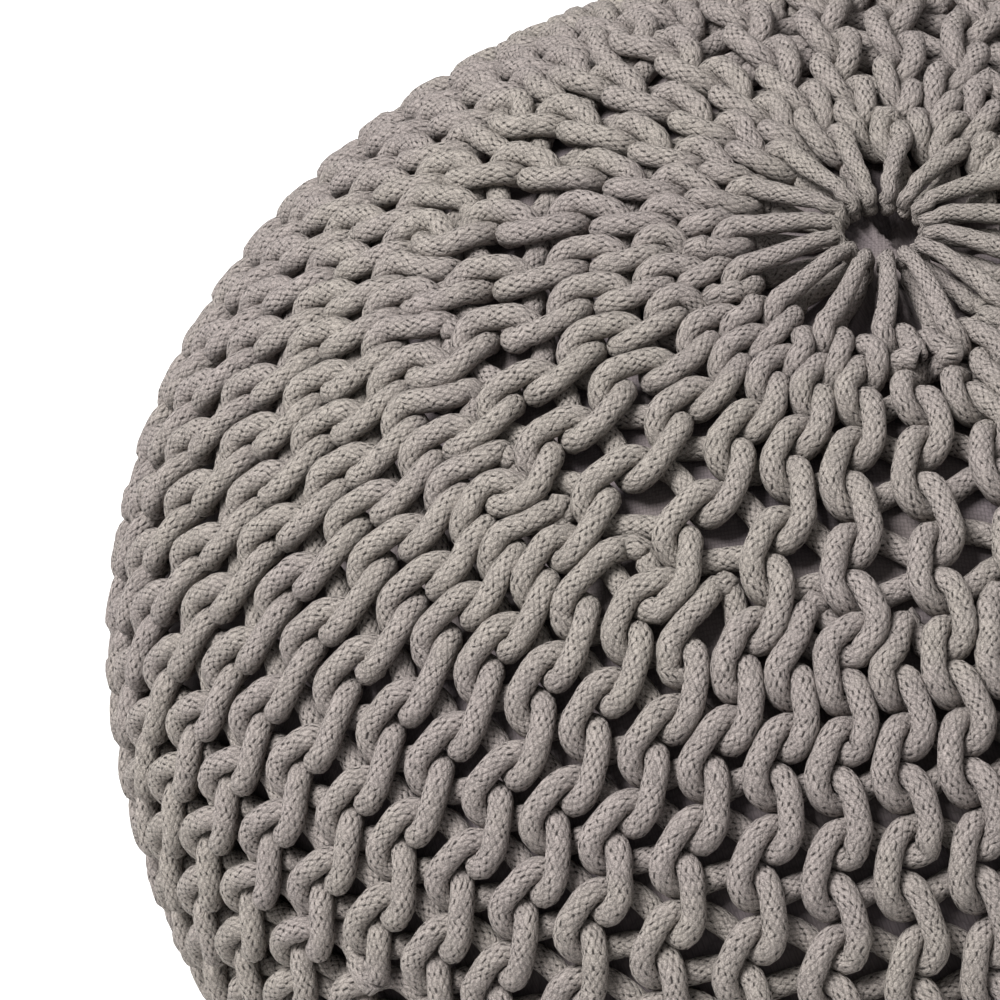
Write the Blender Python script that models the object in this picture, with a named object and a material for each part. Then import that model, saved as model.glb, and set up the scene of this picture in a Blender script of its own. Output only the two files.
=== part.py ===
"""A round pouf: a cover hand-knitted from thick cotton cord over a filled liner.

Units are metres and +Z is up. The origin is on the floor, under the middle of the pouf.
The cover is knitted sideways, so its rows run from the top hole to the hole underneath,
and the cord turns back round a small ring at each hole.
"""

import math

import bmesh
import bpy

# Driving sizes
RADIUS = 0.250  # outside of the knitting at its widest
CROWN_HEIGHT = 0.185  # height the crown would reach without its dimple
BASE_DEPTH = 0.1625  # from the widest ring down to the floor
BASE_ROUNDING = 0.180  # depth the underside would reach without a floor
FLOOR_BLEND = 0.0075  # how gently the underside turns flat
DIMPLE_DEPTH = 0.013
DIMPLE_RADIUS = 0.0875
CORD = 0.0076  # diameter of the knitting cord
COVER_THICKNESS = 2.3 * CORD  # loops lying over the legs of their neighbours
HOLE_RADIUS = 0.011
LINER_GAP = 0.0004
LINER_PUCKER = 0.004  # the liner is drawn down a little under each hole

# Roundness of the profile: a power of 1 is an ellipse, and less is squarer
WIDTH_POWER = 0.976
CROWN_POWER = 0.99
BASE_POWER = 0.833

# The cord turns back once for every two pairs of rows, and each turn makes a shallow gather
TURNS = 15
GATHER_DEPTH = 0.0011
GATHER_REACH = 0.055

# Facets
SEGMENTS = 4 * TURNS
PROFILE_STEPS = 23
LIP_STEPS = 5

WIDEST_Z = BASE_DEPTH
LIP = COVER_THICKNESS / 2
LIP_CENTRE = HOLE_RADIUS + LIP

COVER_COLOUR = (0.462, 0.412, 0.378, 1.0)
LINER_COLOUR = (0.216, 0.188, 0.185, 1.0)


def soft_minimum(first, second, blend):
    """The smaller of two lengths, rounded where they cross and exact outside the blend."""
    near = max(blend - abs(first - second), 0.0) / blend
    return min(first, second) - near * near * blend / 4


def outer_point(angle):
    """A point (radius, height) on the outside, from 0 at the top to pi underneath."""
    radius = RADIUS * abs(math.sin(angle)) ** WIDTH_POWER
    rise = math.cos(angle)
    if rise >= 0:
        dimple = DIMPLE_DEPTH * math.exp(-((radius / DIMPLE_RADIUS) ** 2))
        return radius, WIDEST_Z + CROWN_HEIGHT * rise**CROWN_POWER - dimple
    depth = soft_minimum(BASE_ROUNDING * (-rise) ** BASE_POWER, BASE_DEPTH, FLOOR_BLEND)
    return radius, WIDEST_Z - depth


def outward(angle):
    """The unit vector (radius, height) pointing out of the pouf at this angle."""
    nudge = 1e-4
    before = outer_point(angle - nudge)
    after = outer_point(angle + nudge)
    along = (after[0] - before[0], after[1] - before[1])
    length = math.hypot(*along)
    return -along[1] / length, along[0] / length


def inset_point(angle, depth):
    """A point this far inside the outer surface, measured straight in."""
    radius, height = outer_point(angle)
    out = outward(angle)
    return radius - out[0] * depth, height - out[1] * depth


def edge_angle():
    """The angle at which the outer surface reaches the middle of the rolled edge."""
    return math.asin((LIP_CENTRE / RADIUS) ** (1 / WIDTH_POWER))


def spread(first, last, steps):
    """Evenly spaced values from first to last, both included."""
    return [first + (last - first) * step / steps for step in range(steps + 1)]


def rolled_edge(angle, side):
    """The half-round edge of the cover at a hole, from the outside to the inside.

    side is 1 at the top hole and -1 underneath, where the profile arrives from outside.
    """
    radius, height = outer_point(angle)
    out = outward(angle)
    inward = (-out[1] * side, out[0] * side)
    centre = (radius - out[0] * LIP, height - out[1] * LIP)
    turns = spread(0.0, math.pi, LIP_STEPS + 1)[1:-1]
    return [
        (
            centre[0] + LIP * (out[0] * math.cos(turn) + inward[0] * math.sin(turn)),
            centre[1] + LIP * (out[1] * math.cos(turn) + inward[1] * math.sin(turn)),
        )
        for turn in turns
    ]


def cover_profile():
    """The closed outline of the cover's wall: outside, lower edge, inside, upper edge."""
    edge = edge_angle()
    angles = spread(edge, math.pi - edge, PROFILE_STEPS)
    outside = [outer_point(angle) for angle in angles]
    inside = [inset_point(angle, COVER_THICKNESS) for angle in reversed(angles)]
    lower = rolled_edge(angles[-1], -1)
    upper = rolled_edge(angles[0], 1)
    return outside + lower + inside + upper[::-1]


def liner_profile():
    """The open outline of the filled liner, from the axis at the top to the axis below."""
    edge = edge_angle()
    depth = COVER_THICKNESS + LINER_GAP
    angles = spread(edge, math.pi - edge, PROFILE_STEPS)
    side = [inset_point(angle, depth) for angle in angles]
    top = (0.0, side[0][1] - LINER_PUCKER)
    bottom = (0.0, side[-1][1] + LINER_PUCKER)
    return [top] + side + [bottom]


def gather(vertex):
    """Lifts or lowers a point on top of the cover into the folds that run to the hole."""
    point = vertex.co
    radius = math.hypot(point.x, point.y)
    if radius > GATHER_REACH or point.z < WIDEST_Z:
        return
    fade = (1 - radius / GATHER_REACH) * max(vertex.normal.z, 0.0)
    point.z += GATHER_DEPTH * fade * math.cos(TURNS * math.atan2(point.y, point.x))


def revolve(name, profile, closed, colour):
    """Turns a profile about Z into one closed body with its own material.

    A closed profile is the cover's, and only the cover has gathers.
    """
    shape = bmesh.new()
    points = [shape.verts.new((radius, 0.0, height)) for radius, height in profile]
    ends = points[1:] + points[:1] if closed else points[1:]
    edges = [shape.edges.new(pair) for pair in zip(points, ends)]
    bmesh.ops.spin(
        shape,
        geom=points + edges,
        cent=(0, 0, 0),
        axis=(0, 0, 1),
        angle=2 * math.pi,
        steps=SEGMENTS,
        use_merge=True,
    )
    bmesh.ops.remove_doubles(shape, verts=shape.verts, dist=1e-6)
    bmesh.ops.recalc_face_normals(shape, faces=shape.faces)
    shape.normal_update()
    if closed:
        for vertex in shape.verts:
            gather(vertex)
    mesh = bpy.data.meshes.new(name)
    shape.to_mesh(mesh)
    shape.free()
    mesh.shade_smooth()
    mesh.materials.append(cloth(name, colour))
    part = bpy.data.objects.new(name, mesh)
    bpy.context.scene.collection.objects.link(part)
    return part


def cloth(name, colour):
    """A matt cloth material."""
    material = bpy.data.materials.new(name)
    material.use_nodes = True
    shader = material.node_tree.nodes["Principled BSDF"]
    shader.inputs["Base Color"].default_value = colour
    shader.inputs["Roughness"].default_value = 0.9
    shader.inputs["Metallic"].default_value = 0.0
    return material


def main():
    """Clears the scene and builds the cover and the liner inside it."""
    for leftover in list(bpy.data.objects):
        bpy.data.objects.remove(leftover, do_unlink=True)
    revolve("knit_cover", cover_profile(), True, COVER_COLOUR)
    revolve("inner_liner", liner_profile(), False, LINER_COLOUR)


main()
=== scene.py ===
"""Knitted cotton pouf: a filled liner inside a cover knitted sideways from one thick plaited cord.

The cover is one closed yarn.  Its rows run over the pouf from the top hole to the bottom hole and
back, every second pair of rows turns short of the holes, and neighbouring rows interlock in chains
that run down the sides like the seams of a melon.
"""

import logging
import math
from dataclasses import dataclass, field
from enum import Enum

import bpy
import numpy as np
from mathutils import Matrix, Vector


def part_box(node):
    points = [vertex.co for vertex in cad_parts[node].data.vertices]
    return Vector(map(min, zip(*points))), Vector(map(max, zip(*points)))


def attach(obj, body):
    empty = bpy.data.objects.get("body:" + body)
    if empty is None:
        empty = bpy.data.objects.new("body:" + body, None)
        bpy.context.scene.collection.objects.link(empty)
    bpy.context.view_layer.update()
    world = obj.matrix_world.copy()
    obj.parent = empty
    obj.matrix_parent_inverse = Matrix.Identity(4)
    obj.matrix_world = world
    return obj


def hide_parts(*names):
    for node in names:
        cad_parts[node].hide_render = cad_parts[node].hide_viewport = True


LOG = logging.getLogger("pouf")

COVER = "knit_cover"
LINER = "inner_liner"
CORD = 0.0076
LINER_GAP = 0.0003
ROUNDS, QUICK_ROUNDS = 90, 12
# The cord swells and thins along its length by these shares of its radius.
QUICK_SWELL = 0.018
SLOW_SWELL = 0.014
TAU = 2 * math.pi

Array = np.ndarray
Colour = tuple[float, float, float, float]
Socket = bpy.types.NodeSocket
Sockets = bpy.types.bpy_prop_collection
Tree = bpy.types.NodeTree

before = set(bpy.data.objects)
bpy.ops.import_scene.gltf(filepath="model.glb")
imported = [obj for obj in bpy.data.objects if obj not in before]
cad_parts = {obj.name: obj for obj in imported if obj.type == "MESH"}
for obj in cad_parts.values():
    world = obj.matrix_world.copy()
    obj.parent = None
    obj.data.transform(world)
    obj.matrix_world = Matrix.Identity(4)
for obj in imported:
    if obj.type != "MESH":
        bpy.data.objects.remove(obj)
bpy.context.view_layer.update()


def running(steps: Array) -> Array:
    """Returns the running total of steps, from 0."""
    return np.concatenate([[0.0], np.cumsum(steps)])


def ease(value: Array) -> Array:
    """Returns value clipped to 0..1 and eased in and out."""
    held = np.clip(value, 0.0, 1.0)
    return held * held * (3.0 - 2.0 * held)


# The shape that the cover lies on


@dataclass
class Meridian:
    """Outline of the cover from its top pole, over the widest ring, to its bottom pole.

    Attributes:
        radius: Radius of the widest ring.
        widest: Height of the widest ring over the floor.
        crown: Rise of the crown over the widest ring, before the dimple.
        base: Depth of the base under the widest ring, before it is flattened.
        dimple: Depth of the dimple round the top hole.
        dimple_reach: Distance over which the dimple fades.
        lean: How far the gathered top is pulled off the axis.
        lean_reach: Distance over which that pull fades.
        blend: Height of the soft edge round the flat base.
        width_power: Power that squares off the rings; crown_power and base_power do it upwards.
        steps: Number of samples.
    """

    SHARES = {"widest": 0.4846, "crown": 0.5517, "base": 0.5368, "dimple": 0.0388}

    radius: float
    widest: float
    crown: float
    base: float
    dimple: float
    dimple_reach: float = 0.0875
    lean: tuple[float, float, float] = (0.001, 0.0048, 0.0034)
    lean_reach: float = 0.050
    blend: float = 0.0075
    width_power: float = 0.976
    crown_power: float = 0.99
    base_power: float = 0.833
    steps: int = 2001
    arc: Array = field(init=False)
    ring: Array = field(init=False)
    height: Array = field(init=False)
    out_ring: Array = field(init=False)
    out_height: Array = field(init=False)

    def __post_init__(self) -> None:
        """Samples the outline at even steps of its own length, with its outward direction."""
        turn = np.linspace(0.0, math.pi, self.steps)
        rise = np.cos(turn)
        ring = self.radius * np.abs(np.sin(turn)) ** self.width_power
        ring[0] = ring[-1] = 0.0
        top = self.crown * np.clip(rise, 0.0, None) ** self.crown_power
        top = top - self.dimple * np.exp(-((ring / self.dimple_reach) ** 2))
        low = self.base * np.clip(-rise, 0.0, None) ** self.base_power
        near = np.clip(self.blend - np.abs(low - self.widest), 0.0, None) / self.blend
        low = np.minimum(low, self.widest) - near * near * self.blend / 4.0
        height = self.widest + np.where(rise >= 0.0, top, -low)
        length = running(np.hypot(np.diff(ring), np.diff(height)))
        self.arc = np.linspace(0.0, length[-1], self.steps)
        self.ring = np.interp(self.arc, length, ring)
        self.height = np.interp(self.arc, length, height)
        along_ring = np.gradient(self.ring, self.arc)
        along_height = np.gradient(self.height, self.arc)
        size = np.hypot(along_ring, along_height)
        self.out_ring = -along_height / size
        self.out_height = along_ring / size

    @classmethod
    def from_cover(cls) -> "Meridian":
        """Reads the sizes from the box of the cover.

        Returns:
            The outline that fills that box.
        """
        low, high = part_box(COVER)
        tall = high.z - low.z
        sizes = {name: share * tall for name, share in cls.SHARES.items()}
        return cls(radius=(high.x - low.x) / 2.0, **sizes)

    @property
    def total(self) -> float:
        """Length from pole to pole."""
        return float(self.arc[-1])

    def ring_at(self, arc: Array) -> Array:
        """Returns the radius of the ring at each distance from the top pole."""
        return np.interp(arc, self.arc, self.ring)

    def place(self, arc: Array, angle: Array, depth: Array) -> Array:
        """Turns places on the outline into points.

        Args:
            arc: Distances from the top pole along the outline.
            angle: Angles round the pouf, 0 at the front and growing to the right.
            depth: Depths under the outline.

        Returns:
            One row of x, y, z for each place.
        """
        out_ring = np.interp(arc, self.arc, self.out_ring)
        out_height = np.interp(arc, self.arc, self.out_height)
        reach = self.ring_at(arc) - out_ring * depth
        height = np.interp(arc, self.arc, self.height) - out_height * depth
        points = np.stack([reach * np.sin(angle), -reach * np.cos(angle), height], -1)
        return points + self.sway(points)

    def sway(self, points: Array) -> Array:
        """Returns how far the gathered top has been pulled off the axis at each point."""
        reach = np.hypot(points[..., 0], points[..., 1])
        share = np.exp(-((reach / self.lean_reach) ** 2)) * (points[..., 2] > self.widest)
        return share[..., None] * np.array(self.lean)


@dataclass
class DepthGrid:
    """Depth under the outline for any point near it, read from a grid of radius and height."""

    outline: Meridian
    step: float = 0.002
    margin: float = 0.040
    rings: Array = field(init=False)
    heights: Array = field(init=False)
    depth: Array = field(init=False)

    def __post_init__(self) -> None:
        """Fills the grid from the nearest point of the outline."""
        line = self.outline
        top = float(line.height.max())
        self.rings = np.arange(0.0, line.radius + self.margin, self.step)
        self.heights = np.arange(-self.margin, top + self.margin, self.step)
        ring, height = line.ring[::4], line.height[::4]
        out_ring, out_height = line.out_ring[::4], line.out_height[::4]
        self.depth = np.empty((len(self.rings), len(self.heights)))
        for i, reach in enumerate(self.rings):
            to_ring = reach - ring[None, :]
            to_height = self.heights[:, None] - height[None, :]
            near = (to_ring**2 + to_height**2).argmin(1)
            across = (reach - ring[near]) * out_ring[near]
            upward = (self.heights - height[near]) * out_height[near]
            self.depth[i] = -(across + upward)

    def look(self, points: Array) -> tuple[Array, Array]:
        """Reads the grid.

        Args:
            points: Rows of x, y, z.

        Returns:
            The depth of each point and its outward direction.
        """
        points = points - self.outline.sway(points)
        reach = np.hypot(points[:, 0], points[:, 1])
        column = np.clip(reach / self.step, 0, len(self.rings) - 1.001)
        row = (points[:, 2] - self.heights[0]) / self.step
        row = np.clip(row, 0, len(self.heights) - 1.001)
        i, j = column.astype(int), row.astype(int)
        u, v = column - i, row - j
        a, b = self.depth[i, j], self.depth[i + 1, j]
        c, d = self.depth[i, j + 1], self.depth[i + 1, j + 1]
        depth = (a * (1 - u) + b * u) * (1 - v) + (c * (1 - u) + d * u) * v
        out_ring = -((b - a) * (1 - v) + (d - c) * v)
        out_height = -((c - a) * (1 - u) + (d - b) * u)
        size = np.hypot(out_ring, out_height) + 1e-12
        out_ring, out_height = out_ring / size, out_height / size
        reach = np.maximum(reach, 1e-9)
        outward = [points[:, 0] / reach * out_ring, points[:, 1] / reach * out_ring, out_height]
        return depth, np.stack(outward, -1)


# The yarn


class TurnPlace(Enum):
    """Where the yarn turns from one row to the next."""

    HOLE = "hole"
    RING = "ring"


@dataclass
class Drift:
    """Slow waves over the cover that pull a hand-knitted fabric out of its regular grid."""

    seed: int
    size: float
    waves: int = 7
    shortest: float = 0.11
    longest: float = 0.34

    def __post_init__(self) -> None:
        """Draws the waves."""
        chance = np.random.default_rng(self.seed)
        self.turns = chance.integers(-9, 10, self.waves)
        self.rates = TAU / chance.uniform(self.shortest, self.longest, self.waves)
        self.starts = chance.uniform(0, TAU, self.waves)

    def at(self, arc: Array, angle: Array) -> Array:
        """Returns the drift at each place."""
        total = np.zeros_like(arc)
        for turn, rate, start in zip(self.turns, self.rates, self.starts):
            total += np.sin(turn * angle + rate * arc + start)
        return total * self.size / math.sqrt(self.waves / 2.0)


@dataclass
class KnitPlan:
    """Path of the yarn through the cover, row after row.  Lengths marked (c) are in cords.

    Attributes:
        outline: The shape that the rows lie on.
        cord: Diameter of the cord.
        groups: Number of four-row groups round the pouf, two long rows and two short ones each.
        phase: Angle of the first chain.
        crossing: Half the width by which loops of neighbouring rows pass each other (c).
        reach: How far a loop runs past its own stitch along the row.
        sag: How far the middle of a loop hangs under its ends (c).
        over: Half the difference in depth between the legs of a loop (c).
        layers: Thickness of the knit (c).
        drawn: How far the last loops before a ring of turns are drawn out (c).
        samples: Points for each stitch.
        short_from: Stitch at which the short rows turn.
        stitches: Places of the stitches from a hole to the widest ring, in any unit.
        beyond: Spacing past the last stitch, as a share of the last spacing.
        closing: Loops from the short rows towards a hole where the chains begin to close up.
        closing_rate: Part of the closing done in one loop.
        narrow: Share of the crossing that is left at a hole, and short_reach the reach there.
        thin_out: Stitches from a hole where loops begin to narrow, over thin_blend stitches.
        rim: Radius of the hole inside the loops that pass it.
        rim_cord: Share of its width that the stretched cord keeps there.
        rim_reach: Distance at which near_share of its lost width is back.
        far_reach: Distance at which far_share begins to come back, over far_blend.
        hole_lead: Angle by which a turn at a hole comes before its row; the yarn goes in at twice that.
        uneven: Size of the unevenness from stitch to stitch (c).
        along_drift: Size of the slow drift along the rows (c), and across_drift across them.
        calm: Share of the radius inside which the drift fades.
        seed: Seed of all that is random.
    """

    # How much of a stitch the rows give up for a turn, at their end and at the next one's start.
    CUTS = {TurnPlace.HOLE: (0.24, 0.02), TurnPlace.RING: (-0.10, -0.10)}
    # A turn at the ring: shares of the radius from the pole, of a row's angle, and of the depth.
    HOOK = (
        (0.530, -0.64, 0.75),
        (0.562, -0.12, 1.0),
        (0.590, 0.35, 1.0),
        (0.578, 0.76, 0.92),
        (0.556, 0.62, 0.80),
    )

    outline: Meridian
    cord: float
    groups: int = 15
    phase: float = math.radians(9.0)
    crossing: float = 0.66
    reach: float = 1.5
    sag: float = 0.60
    over: float = 0.15
    layers: float = 2.08
    drawn: float = 0.9
    samples: int = 28
    short_from: int = 4
    stitches: tuple[float, ...] = (
        0.20, 0.30, 0.42, 0.54, 0.655, 0.785, 0.91, 1.025, 1.135, 1.24, 1.345,
    )
    beyond: float = 0.65
    closing: float = 1.25
    closing_rate: float = 2.0
    narrow: float = 0.62
    short_reach: float = 1.25
    thin_out: float = 2.6
    thin_blend: float = 2.4
    rim: float = 0.0122
    rim_cord: float = 0.62
    rim_reach: float = 0.040
    far_reach: float = 0.030
    far_blend: float = 0.080
    near_share: float = 0.68
    far_share: float = 0.32
    hole_lead: float = math.radians(4.0)
    uneven: float = 0.12
    along_drift: float = 0.20
    across_drift: float = 0.16
    calm: float = 0.35
    seed: int = 11

    def __post_init__(self) -> None:
        """Spaces the stitches over the outline and draws the unevenness of the knitting."""
        self.rows = 4 * self.groups
        self.thick = self.layers * self.cord
        half = np.array(self.stitches) / self.stitches[-1] * self.outline.total / 2.0
        self.wales = np.concatenate([half, (self.outline.total - half[:-1])[::-1]])
        self.last = len(self.wales) - 1
        self.along = Drift(self.seed, self.along_drift * self.cord)
        self.across = Drift(self.seed + 1, self.across_drift * self.cord)
        chance = np.random.default_rng(self.seed + 2)
        self.knots = [chance.normal(0.0, 1.0, (3, 64)) for _ in range(self.rows)]

    def _arc_of(self, count: Array) -> Array:
        """Returns the distance from the top pole of each stitch number."""
        wales = self.wales
        before = wales[0] + self.beyond * (wales[1] - wales[0]) * np.arange(-3, 0)
        after = wales[-1] + self.beyond * (wales[-1] - wales[-2]) * np.arange(1, 4)
        numbers = np.arange(-3, len(wales) + 3)
        return np.interp(count, numbers, np.concatenate([before, wales, after]))

    def chain_angle(self, chain: int, turn: Array) -> Array:
        """Angle of a chain, which closes up with its neighbour beyond the rings of short rows.

        Args:
            chain: Number of the chain, the same as that of the row before it.
            turn: Phase along the row.

        Returns:
            The angle at each point.
        """
        top_shift = (0, 1, 0, -1)[chain % 4]
        low_shift = (-1, 0, 1, 0)[chain % 4]
        loop = turn / math.pi
        top_loop = 2 * self.short_from - self.closing
        low_loop = 2 * (self.last - self.short_from) + self.closing
        top = ease((top_loop - loop) * self.closing_rate)
        low = ease((loop - low_loop) * self.closing_rate)
        step = TAU / self.rows
        return self.phase + step * (chain + top_shift * top + low_shift * low)

    def _hole_distance(self, turn: Array) -> Array:
        """Returns the number of stitches from each point to the nearer hole."""
        count = turn / TAU
        return np.minimum(count, self.last - count)

    def _stretch(self, number: int, turn: Array) -> Array:
        """Draws out the last loops that a row makes before the ring where its neighbour turns.

        Args:
            number: Number of the row.
            turn: Phase along the row.

        Returns:
            The shift along the outline of each point.
        """
        if number % 2 == 0:
            way, inside = -1.0, TAU * (self.short_from - 0.5) - turn
        else:
            way, inside = 1.0, turn - TAU * (self.last - self.short_from + 0.5)
        return way * self.drawn * self.cord * np.sin(np.clip(inside + 0.5, 0.0, math.pi)) ** 2

    def _uneven(self, row: int, turn: Array, kind: int) -> Array:
        """Returns a random value that eases from one half stitch of a row to the next."""
        count = turn / math.pi + 6.0
        whole = np.floor(count).astype(int)
        share = ease(count - whole)
        values = self.knots[row % self.rows][kind]
        return values[whole] * (1 - share) + values[whole + 1] * share

    def loops(self, number: int, turn: Array) -> Array:
        """Places points of a row.

        Args:
            number: Number of the row.
            turn: Phase along the row, one stitch for each full turn, heads at whole turns.

        Returns:
            Rows of distance from the top pole, angle and depth.
        """
        uneven = self.uneven * self.cord
        near_hole = ease((self.thin_out - self._hole_distance(turn)) / self.thin_blend)
        past = self.reach - (self.reach - self.short_reach) * near_hole
        arc = self._arc_of((turn + past * np.sin(2 * turn)) / TAU)
        arc = arc + self.sag * self.cord * np.cos(2 * turn)
        arc = arc + self._stretch(number, turn)
        arc = arc + uneven * self._uneven(number, turn, 0)
        base = self.chain_angle(number - 1, turn)
        head = self.chain_angle(number, turn)
        ring = self.outline.ring_at(arc)
        crossing = self.crossing * (1.0 - (1.0 - self.narrow) * near_hole)
        half = (head - base) / 2.0 + crossing * self.cord / ring
        angle = (head + base) / 2.0 + np.cos(turn) * half
        angle = angle + uneven * self._uneven(number, turn, 1) / ring
        mid = self.thick / 2.0
        depth = mid - (mid - self.cord / 2.0) * np.cos(2 * turn)
        depth = depth - 2 * self.over * self.cord * np.cos(turn) * np.abs(np.sin(turn))
        fade = ease(ring / (self.calm * self.outline.radius))
        angle_drift = self.across.at(arc, angle) * fade / ring
        arc = arc + self.along.at(arc, angle) * fade
        return np.stack([arc, angle + angle_drift, depth], -1)

    def _over_rim(self, upper: float, lower: float, middle: float, way: float) -> list[list[float]]:
        """Control points of a turn round the rim of a hole.

        Args:
            upper: Angle at which the yarn goes in under the fabric.
            lower: Angle at which it comes back on top.
            middle: Angle at which it passes the rim.
            way: -1 at the top hole and 1 at the bottom one.

        Returns:
            Rows of distance from the top pole, angle and depth.
        """
        radius = self.outline.radius
        thin = self.cord * self.rim_cord
        lip = (self.thick - thin) / 2.0
        rim = self.rim + lip
        pole = 0.0 if way < 0 else self.outline.total

        def at(distance: float, angle: float, depth: float) -> list[float]:
            return [pole - way * distance, angle, depth]

        deep, high = self.thick - thin / 2.0, thin / 2.0
        slant = lip * 0.72
        return [
            at(0.165 * radius, upper, 0.92 * deep),
            at(0.125 * radius, upper * 0.5 + middle * 0.5, deep),
            at(0.090 * radius, middle, deep),
            at(rim + 0.10 * lip, middle, deep),
            at(rim - slant, middle, self.thick / 2.0 + slant),
            at(rim - lip, middle, self.thick / 2.0),
            at(rim - slant, middle, self.thick / 2.0 - slant),
            at(rim + 0.10 * lip, middle, high),
            at(0.095 * radius, middle * 0.6 + lower * 0.4, high * 1.05),
            at(0.128 * radius, lower, self.cord * 0.5),
        ]

    def turn(self, number: int) -> tuple[Array, float, float]:
        """Control points of the turn from a row to the next one.

        Args:
            number: Number of the row that ends in the turn.

        Returns:
            Rows of distance, angle and depth, and how much of a stitch is cut from the end of
            this row and from the start of the next one.
        """
        at_top = number % 2 == 0
        place = TurnPlace.HOLE if number % 4 in (0, 1) else TurnPlace.RING
        way = -1.0 if at_top else 1.0
        step = TAU / self.rows
        here = self.phase + step * number
        if place is TurnPlace.HOLE:
            middle = here - self.hole_lead
            points = self._over_rim(here - 2 * self.hole_lead, middle, middle, way)
        else:
            pole = 0.0 if at_top else self.outline.total
            deep = self.thick - 0.5 * self.cord
            points = [
                [pole - way * ring * self.outline.radius, here + share * step, deep * under]
                for ring, share, under in self.HOOK
            ]
        return np.array(points), *self.CUTS[place]

    def path(self) -> tuple[Array, list[int]]:
        """The whole closed path of the yarn.

        Returns:
            Its points, and the index at which each group of four rows begins.
        """
        parts: list[Array] = []
        begins: list[int] = []
        total = 0
        ends = [self.turn(number)[1:] for number in range(self.rows)]
        for number in range(self.rows):
            if number % 4 == 0:
                begins.append(total)
            cut_start = ends[(number - 1) % self.rows][1]
            cut_end = ends[number][0]
            upward = number % 2 == 0
            run = self._cut_row(number, cut_start, cut_end, upward)
            following = self._cut_row((number + 1) % self.rows, ends[number][1], 0.0, not upward)
            if number + 1 == self.rows:
                following[:, 1] += TAU
            control = np.concatenate([run[[-4, -1]], self.turn(number)[0], following[[0, 3]]])
            points = self.outline.place(run[:, 0], run[:, 1], run[:, 2])
            bend = rounded_path(self.outline.place(control[:, 0], control[:, 1], control[:, 2]))
            parts += [points, bend[1:-1]]
            total += len(points) + len(bend) - 2
        return np.concatenate(parts), begins

    def width_at(self, points: Array) -> Array:
        """Returns the radius of the cord at each point, which is stretched thin near the holes."""
        upright = points - self.outline.sway(points)
        reach = np.hypot(upright[:, 0], upright[:, 1])
        near = ease((reach - self.rim) / (self.rim_reach - self.rim))
        far = ease((reach - self.far_reach) / self.far_blend)
        growth = self.near_share * near + self.far_share * far
        return self.cord / 2.0 * (self.rim_cord + (1.0 - self.rim_cord) * growth)

    def _cut_row(self, number: int, start: float, end: float, upward: bool) -> Array:
        """Returns a row in the direction it is knitted in, cut at its start and at its end."""
        top = 0 if number % 4 in (0, 1) else self.short_from
        bottom = self.last if number % 4 in (1, 2) else self.last - self.short_from
        first, final = (end, start) if upward else (start, end)
        begin = TAU * (top - 0.5 + first)
        finish = TAU * (bottom + 0.5 - final)
        count = int(round((finish - begin) / TAU * self.samples)) + 1
        run = self.loops(number, np.linspace(begin, finish, count))
        return run[::-1] if upward else run


def rounded_path(points: Array, steps: int = 10) -> Array:
    """Smooth curve through points, leaving out the first and the last stretch.

    Args:
        points: Rows of x, y, z.
        steps: Number of pieces for each stretch.

    Returns:
        The points of the curve.
    """
    parts = []
    for a, b, c, d in zip(points, points[1:], points[2:], points[3:]):
        t1 = np.linalg.norm(b - a) ** 0.5
        t2 = t1 + np.linalg.norm(c - b) ** 0.5
        t3 = t2 + np.linalg.norm(d - c) ** 0.5
        t = np.linspace(t1, t2, steps, endpoint=False)[:, None]
        ab = (t1 - t) / t1 * a + t / t1 * b
        bc = (t2 - t) / (t2 - t1) * b + (t - t1) / (t2 - t1) * c
        cd = (t3 - t) / (t3 - t2) * c + (t - t2) / (t3 - t2) * d
        abc = (t2 - t) / t2 * ab + t / t2 * bc
        bcd = (t3 - t) / (t3 - t1) * bc + (t - t1) / (t3 - t1) * cd
        parts.append((t2 - t) / (t2 - t1) * abc + (t - t1) / (t2 - t1) * bcd)
    parts.append(points[-2][None])
    return np.concatenate(parts)


@dataclass
class Yarn:
    """The closed yarn as even samples.

    Attributes:
        points: Rows of x, y, z.
        step: Planned length from sample to sample.
        radii: Radius of the cord at each sample.
        begins: Index at which each group of rows begins.
    """

    points: Array
    step: float
    radii: Array
    begins: list[int]

    @classmethod
    def from_plan(cls, plan: KnitPlan, step: float = 0.0026) -> "Yarn":
        """Samples the path of a plan.

        Args:
            plan: The plan.
            step: Wanted length from sample to sample.

        Returns:
            The yarn before it has settled.
        """
        points, begins = plan.path()
        closed = np.concatenate([points, points[:1]])
        length = running(np.linalg.norm(np.diff(closed, axis=0), axis=1))
        count = int(round(length[-1] / step / 2.0)) * 2
        even = np.linspace(0.0, length[-1], count, endpoint=False)
        sampled = np.stack([np.interp(even, length, closed[:, k]) for k in range(3)], -1)
        step = length[-1] / count
        starts = [int(round(length[begin] / step)) for begin in begins]
        return cls(sampled, step, plan.width_at(sampled), starts)

    @property
    def length(self) -> float:
        """Length of the whole yarn as it lies now."""
        return float(np.linalg.norm(np.roll(self.points, -1, 0) - self.points, axis=1).sum())


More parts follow.
